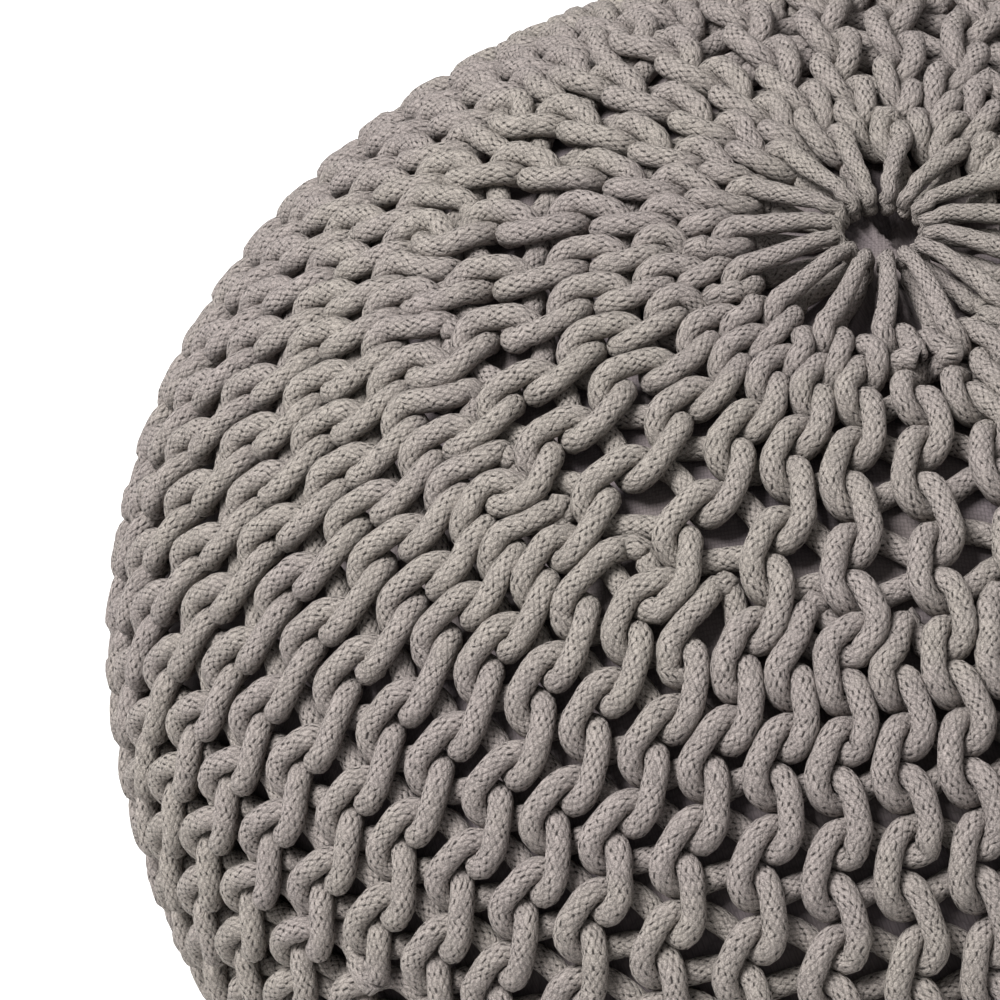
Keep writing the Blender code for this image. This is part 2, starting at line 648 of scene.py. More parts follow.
@dataclass
class Settling:
    """Lets the knitted yarn settle until its strands rest against each other.

    Attributes:
        yarn: The yarn, which ends a few per cent longer than its plan.
        plan: Where its layers lie.
        grid: Depth under the outline.
        rounds: Number of rounds.
        stiffness: How strongly the cord straightens in a round.
        hold: How strongly each sample keeps to its planned place in a round.
        recheck: Rounds after which the pairs are looked for again.
        search: Distance within which samples are a pair, in cords.
        neighbours: Length along the cord within which samples are no pair, in cords.
        push: Share of an overlap that is undone at once, over 1 to settle sooner.
        give: Share of its rise over the outline that the cord is pushed back by.
    """

    yarn: Yarn
    plan: KnitPlan
    grid: DepthGrid
    rounds: int
    stiffness: float = 0.05
    hold: float = 0.06
    recheck: int = 10
    search: float = 1.25
    neighbours: float = 1.75
    push: float = 1.6
    give: float = 0.5

    def _near_pairs(self, points: Array) -> tuple[Array, Array]:
        """Pairs of samples that may touch, found through cells as wide as the search.

        Args:
            points: Rows of x, y, z.

        Returns:
            The indices of the first and of the second sample of each pair.
        """
        cut = self.plan.cord * self.search
        skip = int(math.ceil(self.neighbours * self.plan.cord / self.yarn.step))
        count = len(points)
        cell = np.floor(points / cut).astype(np.int64)
        cell -= cell.min(0)
        sides = cell.max(0) + 3
        key = ((cell[:, 0] + 1) * sides[1] + cell[:, 1] + 1) * sides[2] + cell[:, 2] + 1
        order = np.argsort(key, kind="stable")
        ordered = key[order]
        near = (-1, 0, 1)
        offsets = [(x, y, z) for x in near for y in near for z in near if (x, y, z) >= (0, 0, 0)]
        firsts, seconds = [], []
        for x, y, z in offsets:
            wanted = key + (x * sides[1] + y) * sides[2] + z
            low = np.searchsorted(ordered, wanted, "left")
            found = np.searchsorted(ordered, wanted, "right") - low
            first = np.repeat(np.arange(count), found)
            before = np.concatenate([[0], np.cumsum(found)[:-1]])
            second = order[np.arange(len(first)) + np.repeat(low - before, found)]
            apart = np.abs(first - second)
            apart = np.minimum(apart, count - apart)
            keep = apart > skip
            if (x, y, z) == (0, 0, 0):
                keep &= first < second
            first, second = first[keep], second[keep]
            close = ((points[first] - points[second]) ** 2).sum(1) < cut * cut
            firsts.append(first[close])
            seconds.append(second[close])
        return np.concatenate(firsts), np.concatenate(seconds)

    def _part(self, points: Array, pairs: tuple[Array, Array]) -> Array:
        """Returns the points with overlapping strands pushed apart."""
        first, second = pairs
        radii = self.yarn.radii
        between = points[first] - points[second]
        apart = np.sqrt((between * between).sum(1)) + 1e-12
        overlap = radii[first] + radii[second] - apart
        touching = overlap > 0.0
        first, second = first[touching], second[touching]
        push = (overlap / apart * 0.5)[touching][:, None] * between[touching]
        count = len(points)
        share = np.bincount(first, minlength=count) + np.bincount(second, minlength=count)
        moved = np.empty_like(points)
        for axis in range(3):
            moved[:, axis] = np.bincount(first, push[:, axis], count)
            moved[:, axis] -= np.bincount(second, push[:, axis], count)
        return points + moved / np.maximum(share, 1)[:, None] * self.push

    def _keep_length(self, points: Array) -> Array:
        """Returns the points with their spacing pulled back to a step, even gaps and then odd ones."""
        for parity in range(2):
            gap = np.roll(points, -1, 0) - points
            size = np.sqrt((gap * gap).sum(1))
            fix = ((size - self.yarn.step) / size * 0.5)[:, None] * gap
            fix[(np.arange(len(points)) % 2) != parity] = 0.0
            points = points + fix - np.roll(fix, 1, 0)
        return points

    def _keep_depth(self, points: Array) -> Array:
        """Returns the points kept between the outline and the liner."""
        depth, outward = self.grid.look(points)
        radii = self.yarn.radii
        deep = np.clip(depth - (self.plan.thick - radii), 0.0, None)
        proud = np.clip(radii - depth, 0.0, None)
        return points + outward * (deep - self.give * proud)[:, None]

    def run(self) -> float:
        """Settles the yarn in place.

        Returns:
            The mean overlap that is left where strands touch.
        """
        points = self.yarn.points.copy()
        planned = self.yarn.points
        stride = max(1, int(round(self.plan.cord / self.yarn.step)))
        pairs = self._near_pairs(points)
        for number in range(self.rounds):
            if number and number % self.recheck == 0:
                pairs = self._near_pairs(points)
            ahead, behind = np.roll(points, -stride, 0), np.roll(points, stride, 0)
            lift = (ahead + behind) / 2.0 - points
            even = (np.roll(lift, stride, 0) + np.roll(lift, -stride, 0)) / 2.0 - lift
            points = points - self.stiffness * even
            points = points + self.hold * (planned - points)
            for _ in range(2):
                points = self._part(points, pairs)
                points = self._keep_depth(points)
                points = self._keep_length(points)
        low = self.yarn.radii * (1.0 + SLOW_SWELL + QUICK_SWELL)
        points[:, 2] = np.maximum(points[:, 2], low)
        self.yarn.points = points
        first, second = pairs
        apart = np.linalg.norm(points[first] - points[second], axis=1)
        overlap = self.yarn.radii[first] + self.yarn.radii[second] - apart
        return float(overlap[overlap > 0].mean())


# Finishes


class Nodes:
    """Short hand for building a node tree."""

    def __init__(self, tree: Tree) -> None:
        """Keeps the tree."""
        self.tree = tree

    def add(self, kind: str, **settings: object) -> bpy.types.Node:
        """Returns a new node of a kind with some of its settings made."""
        node = self.tree.nodes.new(kind)
        for name, value in settings.items():
            setattr(node, name, value)
        return node

    def put(self, socket: Socket, value: object) -> None:
        """Links a socket to another one or sets its value."""
        if isinstance(value, Socket):
            self.tree.links.new(value, socket)
        else:
            socket.default_value = value

    def math(self, operation: str, *values: object) -> Socket:
        """Returns the outcome of a Math node."""
        node = self.add("ShaderNodeMath", operation=operation)
        for socket, value in zip(node.inputs, values):
            self.put(socket, value)
        return node.outputs[0]

    def plus(self, first: object, second: object) -> Socket:
        """Returns a sum."""
        return self.math("ADD", first, second)

    def minus(self, first: object, second: object) -> Socket:
        """Returns a difference."""
        return self.math("SUBTRACT", first, second)

    def times(self, first: object, second: object) -> Socket:
        """Returns a product."""
        return self.math("MULTIPLY", first, second)

    def scaled(self, value: object, factor: object, more: object) -> Socket:
        """Returns value * factor + more."""
        return self.math("MULTIPLY_ADD", value, factor, more)

    def odd(self, first: object, second: object) -> Socket:
        """Returns 1 where the sum of two whole numbers is odd, and 0 elsewhere."""
        return self.math("FLOORED_MODULO", self.plus(first, second), 2.0)

    def wave(self, value: object) -> Socket:
        """Returns a half wave that rises and falls as value goes from 0 to 1."""
        return self.math("SINE", self.times(value, math.pi))

    def chance(self, x: object, y: object) -> Socket:
        """Returns a random value for each pair of numbers."""
        node = self.add("ShaderNodeTexWhiteNoise", noise_dimensions="2D")
        self.put(node.inputs["Vector"], self.vector(x, y))
        return node.outputs["Value"]

    def parts(self, value: Socket) -> tuple[Socket, Socket]:
        """Returns the first two parts of a vector."""
        node = self.add("ShaderNodeSeparateXYZ")
        self.put(node.inputs[0], value)
        return node.outputs[0], node.outputs[1]

    def spread(self, value: object, low: float, high: float, to_low: float, to_high: float) -> Socket:
        """Returns a value carried smoothly from one range to another and held at its ends."""
        node = self.add("ShaderNodeMapRange", interpolation_type="SMOOTHSTEP")
        for socket, entry in zip(node.inputs, (value, low, high, to_low, to_high)):
            self.put(socket, entry)
        return node.outputs[0]

    def mix(self, share: object, first: object, second: object, blend: str = "MIX") -> Socket:
        """Returns two colours mixed."""
        node = self.add("ShaderNodeMix", data_type="RGBA", blend_type=blend, clamp_factor=True)
        self.put(node.inputs["Factor"], share)
        colours = [socket for socket in node.inputs if socket.type == "RGBA"]
        self.put(colours[0], first)
        self.put(colours[1], second)
        return next(socket for socket in node.outputs if socket.type == "RGBA")

    def noise(self, place: object, scale: float, detail: float = 2.0, rough: float = 0.5) -> Socket:
        """Returns the value of a Noise texture."""
        node = self.add("ShaderNodeTexNoise")
        entries = {"Vector": place, "Scale": scale, "Detail": detail, "Roughness": rough}
        for name, value in entries.items():
            self.put(node.inputs[name], value)
        return node.outputs[0]

    def vector(self, x: object, y: object, z: object = 0.0) -> Socket:
        """Returns three values as a vector."""
        node = self.add("ShaderNodeCombineXYZ")
        for socket, value in zip(node.inputs, (x, y, z)):
            self.put(socket, value)
        return node.outputs[0]


def new_group(name: str, inputs: dict[str, tuple[str, object]], outputs: dict[str, str]) -> Tree:
    """Makes an empty shader node group.

    Args:
        name: Name of the group.
        inputs: Kind and default value of each input by name.
        outputs: Kind of each output by name.

    Returns:
        The group's tree.
    """
    tree = bpy.data.node_groups.new(name, "ShaderNodeTree")
    for label, (kind, value) in inputs.items():
        socket = tree.interface.new_socket(name=label, in_out="INPUT", socket_type=kind)
        if value is not None:
            socket.default_value = value
    for label, kind in outputs.items():
        tree.interface.new_socket(name=label, in_out="OUTPUT", socket_type=kind)
    return tree


def soft_tone_group() -> Tree:
    """Makes the group that varies a dyed fibre's colour from patch to patch.

    Returns:
        A group with the two ends of the colour and a scale as inputs and the colour as output.
    """
    tree = new_group(
        "dyed_fibre",
        {
            "Warm": ("NodeSocketColor", (0.5, 0.46, 0.42, 1.0)),
            "Cool": ("NodeSocketColor", (0.48, 0.43, 0.42, 1.0)),
            "Scale": ("NodeSocketFloat", 18.0),
        },
        {"Color": "NodeSocketColor"},
    )
    make = Nodes(tree)
    entry = make.add("NodeGroupInput")
    place = make.add("ShaderNodeTexCoord").outputs["Object"]
    patch = make.noise(place, entry.outputs["Scale"], 3.0, 0.6)
    share = make.spread(patch, 0.38, 0.62, 0.0, 1.0)
    leave = make.add("NodeGroupOutput")
    make.put(leave.inputs["Color"], make.mix(share, entry.outputs["Warm"], entry.outputs["Cool"]))
    return tree


def plait_group() -> Tree:
    """Makes the group for the plaited skin of the cord.

    Returns:
        A group that takes the length and the turn round the cord and gives the height of the
        plait, its painted shading (lighter along each strand's middle) mixed with fibre tone, and a
        mask of the eyes between its strands, which are painted dark as shade.
    """
    tree = new_group(
        "plaited_skin",
        {
            "Along": ("NodeSocketFloat", 0.0),
            "Around": ("NodeSocketFloat", 0.0),
            "Pitch": ("NodeSocketFloat", 0.0034),
            "Strands": ("NodeSocketFloat", 11.0),
        },
        {"Height": "NodeSocketFloat", "Light": "NodeSocketFloat", "ShadedEyes": "NodeSocketFloat"},
    )
    make = Nodes(tree)
    entry = make.add("NodeGroupInput").outputs
    along = make.math("DIVIDE", entry["Along"], entry["Pitch"])
    around = make.times(entry["Around"], entry["Strands"])
    place = make.add("ShaderNodeTexCoord").outputs["Object"]
    pull, push = (make.scaled(make.noise(place, scale, 1.0), 0.9, -0.45) for scale in (420.0, 290.0))
    one = make.plus(make.plus(along, around), pull)
    other = make.plus(make.minus(along, around), push)

    # Strands run both ways and pass over and under each other like a chequerboard.
    one_cell, other_cell = make.math("FLOOR", one), make.math("FLOOR", other)
    u, v = make.math("FRACT", one), make.math("FRACT", other)
    parity = make.odd(one_cell, other_cell)
    swap = make.minus(v, u)
    across = make.scaled(swap, parity, u)
    length = make.scaled(swap, make.minus(0.0, parity), v)
    ridge = make.math("POWER", make.wave(across), 1.3)
    strand = make.times(ridge, make.spread(make.wave(length), 0.0, 0.8, 0.35, 1.0))

    # Between the strands some corners open into a slanting eye, painted near-black as shade.
    corner_one, corner_other = (make.math("FLOOR", make.plus(line, 0.5)) for line in (one, other))
    from_one, from_other = make.minus(one, corner_one), make.minus(other, corner_other)
    lengthwise = make.plus(from_one, from_other)
    lean = make.scaled(make.odd(corner_one, corner_other), 1.1, -0.55)
    sideways = make.scaled(lengthwise, lean, make.minus(from_one, from_other))
    slit = make.spread(make.math("ABSOLUTE", sideways), 0.08, 0.40, 1.0, 0.0)
    reach = make.spread(make.math("ABSOLUTE", lengthwise), 0.10, 0.42, 1.0, 0.0)
    lot = make.spread(make.chance(corner_one, corner_other), 0.20, 0.80, 0.0, 1.0)

    fibres = make.vector(make.times(across, 3.0), length, one_cell)
    hair = make.spread(make.noise(fibres, 2.4, 3.0, 0.7), 0.25, 0.75, 0.0, 1.0)
    fluff = make.spread(make.noise(place, 1900.0, 2.0, 0.7), 0.30, 0.70, 0.0, 1.0)
    # Painted shade: each strand is lighter along its raised middle and darker at its edges; hair, fluff
    # and a random tone for each strand are the fibres' own colour.
    light = make.scaled(strand, 0.20, make.times(hair, 0.30))
    light = make.scaled(make.chance(one_cell, other_cell), 0.16, light)
    leave = make.add("NodeGroupOutput").inputs
    make.put(leave["Height"], make.scaled(make.plus(hair, fluff), 0.42, make.times(strand, 0.7)))
    make.put(leave["Light"], make.scaled(fluff, 0.38, light))
    make.put(leave["ShadedEyes"], make.times(make.times(slit, reach), lot))
    return tree


def weave_group() -> Tree:
    """Makes the group for a plain woven cloth.

    Returns:
        A group that takes a vector and a thread count and gives height, and painted shading over the
        threads mixed with slub tone.
    """
    tree = new_group(
        "plain_weave",
        {"Vector": ("NodeSocketVector", None), "Threads": ("NodeSocketFloat", 900.0)},
        {"Height": "NodeSocketFloat", "Light": "NodeSocketFloat"},
    )
    make = Nodes(tree)
    entry = make.add("NodeGroupInput").outputs
    x, y = (make.times(part, entry["Threads"]) for part in make.parts(entry["Vector"]))
    parity = make.odd(make.math("FLOOR", x), make.math("FLOOR", y))
    warp, weft = make.wave(make.math("FRACT", x)), make.wave(make.math("FRACT", y))
    height = make.scaled(make.minus(weft, warp), parity, warp)
    slub = make.noise(entry["Vector"], 160.0, 2.0, 0.6)
    leave = make.add("NodeGroupOutput").inputs
    make.put(leave["Height"], height)
    # Painted shade: the raised threads brighten the colour and the low ones darken it, mixed half and
    # half with the slub's own tone.
    make.put(leave["Light"], make.scaled(height, 0.5, make.times(slub, 0.5)))
    return tree


@dataclass(frozen=True)
class Finish:
    """A finish, which makes its material once.

    Attributes:
        name: Name of the material.
    """

    name: str

    def _start(self) -> tuple[bpy.types.Material, Nodes, bpy.types.Node]:
        """Returns a new material with its tree and its Principled shader."""
        material = bpy.data.materials.new(self.name)
        material.use_nodes = True
        make = Nodes(material.node_tree)
        shader = next(n for n in material.node_tree.nodes if n.type == "BSDF_PRINCIPLED")
        return material, make, shader


@dataclass(frozen=True)
class FibreFinish(Finish):
    """Matt dyed fibre.

    Attributes:
        warm: One end of its colour.
        cool: The other end.
        patch: Scale of the patches between them.
        dim: Range of the skin's painted shading and tone, and the brightness it is carried to.
        strength: Strength of the bump.
        relief: Height of the bump.
        roughness: Roughness of the surface.
    """

    warm: Colour
    cool: Colour
    patch: float
    dim: tuple[float, float, float, float]
    strength: float
    relief: float
    roughness: float

    SHEEN = 0.25

    @staticmethod
    def _place(make: Nodes, tree: Tree, **values: object) -> Sockets:
        """Places a group with its inputs set and returns its outputs."""
        node = make.add("ShaderNodeGroup", node_tree=tree)
        for name, value in values.items():
            make.put(node.inputs[name], value)
        return node.outputs

    def _toned(self, make: Nodes, tone: Tree, light: Socket) -> Socket:
        """Returns the dyed colour multiplied by the skin's painted shading and fibre tone."""
        base = self._place(make, tone, Warm=self.warm, Cool=self.cool, Scale=self.patch)[0]
        # The skin's painted shading and fibre tone become a brightness that multiplies the dyed colour.
        dim = make.spread(light, *self.dim)
        return make.mix(1.0, base, make.vector(dim, dim, dim), "MULTIPLY")

    def _dress(self, make: Nodes, shader: bpy.types.Node, colour: Socket, height: Socket) -> None:
        """Gives the shader its colour, its relief and its matt surface."""
        bump = make.add("ShaderNodeBump")
        bump.inputs["Strength"].default_value = self.strength
        bump.inputs["Distance"].default_value = self.relief
        make.put(bump.inputs["Height"], height)
        make.put(shader.inputs["Base Color"], colour)
        make.put(shader.inputs["Normal"], bump.outputs[0])
        shader.inputs["Roughness"].default_value = self.roughness
        shader.inputs["Specular IOR Level"].default_value = self.SHEEN


@dataclass(frozen=True)
class CordFinish(FibreFinish):
    """Plaited cotton with painted shade in the eyes between its strands."""

    warm: Colour = (0.318, 0.284, 0.254, 1.0)
    cool: Colour = (0.298, 0.260, 0.244, 1.0)
    patch: float = 14.0
    dim: tuple[float, float, float, float] = (0.12, 0.88, 0.46, 1.34)
    strength: float = 0.9
    relief: float = 0.00065
    roughness: float = 0.92
    # Near-black painted shade laid into the eyes between the strands.
    shade: Colour = (0.020, 0.016, 0.015, 1.0)
    eye_shade: float = 0.92
    eye_depth: float = 0.8

    def material(self, tone: Tree, plait: Tree) -> bpy.types.Material:
        """Makes the material.

        Args:
            tone: The group of dyed fibre.
            plait: The group of the plaited skin.

        Returns:
            The material.
        """
        material, make, shader = self._start()
        lay = make.add("ShaderNodeUVMap", uv_map=CordCover.LAY).outputs[0]
        along, around = make.parts(lay)
        skin = self._place(make, plait, Along=along, Around=around)
        # Painted shade: the eyes between the strands are mixed towards the near-black shade colour.
        eyes = make.times(skin["ShadedEyes"], self.eye_shade)
        colour = make.mix(eyes, self._toned(make, tone, skin["Light"]), self.shade)
        height = make.minus(skin["Height"], make.times(skin["ShadedEyes"], self.eye_depth))
        self._dress(make, shader, colour, height)
        return material


@dataclass(frozen=True)
class ClothFinish(FibreFinish):
    """Woven lining cloth in a darker, cooler tone than the cord."""

    warm: Colour = (0.140, 0.118, 0.115, 1.0)
    cool: Colour = (0.114, 0.095, 0.100, 1.0)
    patch: float = 20.0
    dim: tuple[float, float, float, float] = (0.1, 0.9, 0.70, 1.10)
    strength: float = 0.6
    relief: float = 0.00025
    roughness: float = 0.88

    def material(self, tone: Tree, weave: Tree) -> bpy.types.Material:
        """Makes the material.

        Args:
            tone: The group of dyed fibre.
            weave: The group of the plain weave.

        Returns:
            The material.
        """
        material, make, shader = self._start()
        lay = make.add("ShaderNodeUVMap", uv_map=LinerBody.LAY).outputs[0]
        cloth = self._place(make, weave, Vector=lay)
        self._dress(make, shader, self._toned(make, tone, cloth["Light"]), cloth["Height"])
        return material


@dataclass(frozen=True)
class FloorFinish(Finish):
    """Pale studio floor with a hardly visible cloud in its tone."""

    light: Colour = (0.93, 0.93, 0.93, 1.0)
    dull: Colour = (0.90, 0.90, 0.90, 1.0)
    roughness: float = 0.9

    def material(self) -> bpy.types.Material:
        """Makes and returns the material."""
        material, make, shader = self._start()
        place = make.add("ShaderNodeTexCoord").outputs["Object"]
        cloud = make.noise(place, 1.5, 3.0)
        make.put(shader.inputs["Base Color"], make.mix(cloud, self.light, self.dull))
        shader.inputs["Roughness"].default_value = self.roughness
        return material


# Pieces


def quad_mesh(name: str, points: Array, quads: Array) -> bpy.types.Mesh:
    """Makes a smooth mesh of quads.

    Args:
        name: Name of the mesh.
        points: Rows of x, y, z.
        quads: Rows of four indices.

    Returns:
        The mesh.
    """
    mesh = bpy.data.meshes.new(name)
    mesh.vertices.add(len(points))
    mesh.vertices.foreach_set("co", points.astype(np.float32).ravel())
    mesh.loops.add(quads.size)
    mesh.loops.foreach_set("vertex_index", quads.astype(np.int32).ravel())
    mesh.polygons.add(len(quads))
    mesh.polygons.foreach_set("loop_start", np.arange(0, quads.size, 4, dtype=np.int32))
    mesh.update(calc_edges=True)
    mesh.validate()
    mesh.shade_smooth()
    return mesh


def ring_quads(rings: int, sides: int) -> Array:
    """Returns the corners of the faces between rings of points, face by face round each ring."""
    j = np.arange(sides)[None, :]
    after = (j + 1) % sides
    start = np.arange(rings - 1)[:, None, None] * sides
    return (np.stack([j, after, sides + after, sides + j], -1) + start).reshape(-1, 4)


def add_uv(mesh: bpy.types.Mesh, name: str, corners: Array) -> None:
    """Gives a mesh a UV map from one pair of numbers for each face corner."""
    layer = mesh.uv_layers.new(name=name)
    layer.data.foreach_set("uv", corners.astype(np.float32).ravel())


def link(name: str, mesh: bpy.types.Mesh, material: bpy.types.Material) -> bpy.types.Object:
    """Returns a new object of a mesh in the scene, in a material."""
    piece = bpy.data.objects.new(name, mesh)
    bpy.context.scene.collection.objects.link(piece)
    mesh.materials.append(material)
    return piece


@dataclass
class CordCover:
    """The knitted cover as round cord laid along the settled yarn, one piece for each group of rows.

    Attributes:
        yarn: The settled yarn.
        material: The cord's material.
        sides: Number of faces round the cord.
        rings: Number of rings of points in one piece.
        strips: Number of strips that a piece's cord is cut into on its bake map.
        spare: Height left over on that map for the ends, in strips.
        margin: Gap along the edges of a strip, as a share of its height.
        straight_weight: Weight of straight cord when rings are shared out.
        bend_weight: Weight added for each unit of bend, up to most_bend.
    """

    yarn: Yarn
    material: bpy.types.Material
    sides: int = 10
    rings: int = 3060
    strips: int = 17
    spare: float = 0.4
    margin: float = 0.04
    straight_weight: float = 0.55
    bend_weight: float = 0.008
    most_bend: float = 1.2

    LAY = "cord_lay"
    BAKE = "OFBake"

    def _curve(self, place: Array, values: Array) -> Array:
        """Returns values of the closed yarn at places between its samples, smoothly."""
        count = len(values)
        whole = np.floor(place).astype(int)
        t = (place - whole)[:, None]
        a, b, c, d = (values[(whole + k) % count] for k in (-1, 0, 1, 2))
        bend = 2 * a - 5 * b + 4 * c - d
        twist = -a + 3 * b - 3 * c + d
        return 0.5 * (2 * b + (c - a) * t + bend * t**2 + twist * t**3)

    def _spacing(self, begin: int, end: int) -> Array:
        """Returns ring places of a piece, closer where the yarn bends."""
        count = len(self.yarn.points)
        index = np.arange(begin, end + 1)
        here = self.yarn.points[index % count]
        ahead, behind = self.yarn.points[(index + 2) % count], self.yarn.points[(index - 2) % count]
        sharp = np.linalg.norm(ahead + behind - 2 * here, axis=1) / (2 * self.yarn.step) ** 2
        weight = self.straight_weight + np.minimum(sharp * self.bend_weight, self.most_bend)
        run = running((weight[1:] + weight[:-1]) / 2)
        return np.interp(np.linspace(0.0, run[-1], self.rings), run, index)

    @staticmethod
    def _frames(along: Array) -> Array:
        """Side directions that turn with the cord and don't spin round it.

        Args:
            along: Unit directions of the cord.

        Returns:
            A unit direction across the cord at each ring.
        """
        side = np.empty_like(along)
        x, y, z = np.cross(along[0], (0.0, 0.0, 1.0))
        for i, (a, b, c) in enumerate(along.tolist()):
            slip = x * a + y * b + z * c
            x, y, z = x - slip * a, y - slip * b, z - slip * c
            size = math.sqrt(x * x + y * y + z * z)
            x, y, z = x / size, y / size, z / size
            side[i] = (x, y, z)
        return side

    def _uvs(self, lengths: Array) -> tuple[Array, Array]:
        """Maps of one piece.

        Args:
            lengths: Length of the cord up to each ring.

        Returns:
            Corner pairs of the cord's own map and of the strips of its bake map.
        """
        segments = self.rings - 1
        around = np.arange(self.sides)
        ranges = (lengths[:-1, None], lengths[1:, None], around / self.sides, (around + 1) / self.sides)
        begin, end, low, high = (np.broadcast_to(v, (segments, self.sides)) for v in ranges)
        corners = ((begin, low), (begin, high), (end, high), (end, low))
        lay = np.stack([np.stack(pair, -1) for pair in corners], 2)
        strip = (np.arange(segments) * self.strips) // segments
        edges = [np.flatnonzero(strip == k) for k in range(self.strips)]
        starts = np.array([lengths[e[0]] for e in edges])
        longest = max(lengths[e[-1] + 1] - lengths[e[0]] for e in edges)
        over = strip[:, None, None]
        out = np.empty_like(lay)
        out[..., 0] = 0.005 + 0.99 * (lay[..., 0] - starts[over]) / longest
        inside = self.margin + (1 - 2 * self.margin) * lay[..., 1]
        out[..., 1] = (over + inside) / (self.strips + self.spare)
        return lay.reshape(-1, 2), out.reshape(-1, 2)

    def _cap_faces(self) -> tuple[Array, Array, Array]:
        """Faces that close both ends of a piece.

        Returns:
            Their corners, and the corner pairs of both maps.
        """
        half = self.sides // 2 - 1
        near = np.array([[k, k + 1, self.sides - 2 - k, self.sides - 1 - k] for k in range(half)])
        far = near[:, ::-1] + (self.rings - 1) * self.sides
        quads = np.concatenate([near[:, ::-1], far[:, ::-1]])
        square = np.array([[0.0, 0.0], [1.0, 0.0], [1.0, 1.0], [0.0, 1.0]])
        total = self.strips + self.spare
        strips = np.repeat(square[None] * (0.03, 0.6 * self.spare / total), len(quads), 0)
        strips = strips + np.array([0.02, self.strips / total + 0.003])
        strips[..., 0] += 0.05 * np.arange(len(quads))[:, None]
        lay = np.broadcast_to(square[None] * (0.004, 0.2), strips.shape)
        return quads, lay.reshape(-1, 2), strips.reshape(-1, 2)

    def _piece(self, number: int, begin: int, end: int, before: float) -> bpy.types.Object:
        """Builds the piece of one group of rows.

        Args:
            number: Number of the group.
            begin: First sample of its yarn.
            end: Sample after its last one.
            before: Length of the yarn before it.

        Returns:
            The piece.
        """
        place = self._spacing(begin, end)
        points = self._curve(place, self.yarn.points)
        radii = self._curve(place, self.yarn.radii[:, None])[:, 0]
        along = np.gradient(points, axis=0)
        along /= np.linalg.norm(along, axis=1)[:, None]
        side = self._frames(along)
        other = np.cross(along, side)
        lengths = before + (place - begin) * self.yarn.step
        swell = 1.0 + QUICK_SWELL * np.sin(lengths * 410.0)
        swell += SLOW_SWELL * np.sin(lengths * 173.0 + 1.0)
        turn = (np.arange(self.sides) * TAU / self.sides)[None, :, None]
        circle = np.cos(turn) * side[:, None] + np.sin(turn) * other[:, None]
        skin = points[:, None] + (radii * swell)[:, None, None] * circle
        name = f"cover_cord_{number + 1:02d}"
        ends, end_lay, end_strips = self._cap_faces()
        faces = np.concatenate([ring_quads(self.rings, self.sides), ends])
        mesh = quad_mesh(name, skin.reshape(-1, 3), faces)
        lay, strips = self._uvs(lengths)
        add_uv(mesh, self.LAY, np.concatenate([lay, end_lay]))
        add_uv(mesh, self.BAKE, np.concatenate([strips, end_strips]))
        mesh.uv_layers[self.BAKE].active_render = True
        return link(name, mesh, self.material)

    def build(self) -> list[bpy.types.Object]:
        """Builds all pieces and lets them stand for the cover.

        Returns:
            The pieces.
        """
        begins = self.yarn.begins
        ends = begins[1:] + [begins[0] + len(self.yarn.points)]
        pieces = []
        for number, (begin, end) in enumerate(zip(begins, ends)):
            piece = self._piece(number, begin, end, begin * self.yarn.step)
            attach(piece, "root")
            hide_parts(COVER)
            pieces.append(piece)
            LOG.info("%s: %d faces", piece.name, len(piece.data.polygons))
        return pieces


